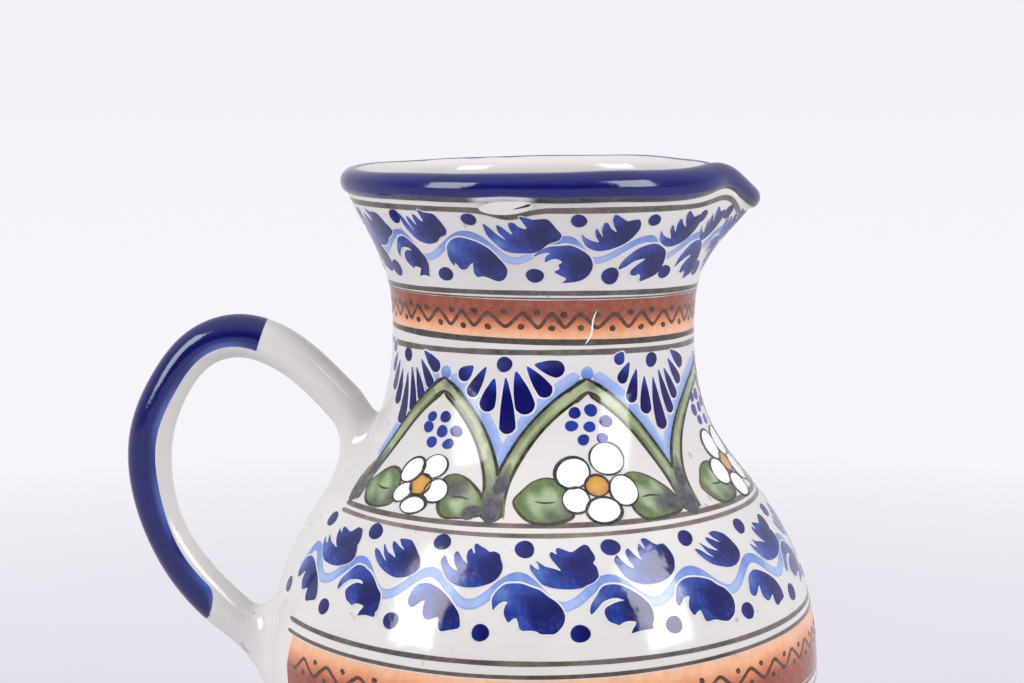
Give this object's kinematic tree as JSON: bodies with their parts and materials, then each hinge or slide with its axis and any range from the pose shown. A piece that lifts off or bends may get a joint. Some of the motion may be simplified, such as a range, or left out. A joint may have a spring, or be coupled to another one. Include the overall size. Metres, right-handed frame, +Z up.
{
  "type": "talavera pitcher",
  "caption": "Glazed earthenware water pitcher: bulbous body, flared neck, rolled lip with a pulled beak, foot ring and a round loop handle, hand-painted in bands.",
  "frame": {"origin": "centre of the foot ring's resting face, on the axis that the body and the neck are turned about", "axes": "+Z up along the turning axis, +X from the handle towards the pouring beak, +Y to the left of the beak"},
  "size_m": [0.2334, 0.1862, 0.2613],
  "materials": {
    "white_glaze": "glossy tin-white glaze over earthenware",
    "blue_glaze": "glossy cobalt blue glaze",
    "pale_blue_glaze": "thin pale blue wash under the gloss",
    "orange_glaze": "terracotta orange glaze, shaded from dark to light",
    "line_glaze": "dark brown to black brush lines",
    "green_glaze": "leaf green glaze",
    "ochre_glaze": "ochre yellow glaze"
  },
  "bodies": {
    "root": {"foot_ring": "blue_glaze", "body": "white_glaze", "neck": "white_glaze", "lip_bead": "blue_glaze", "handle": "white_glaze", "handle_upper_joint": "white_glaze", "handle_lower_joint": "white_glaze"}
  },
  "joints": []
}
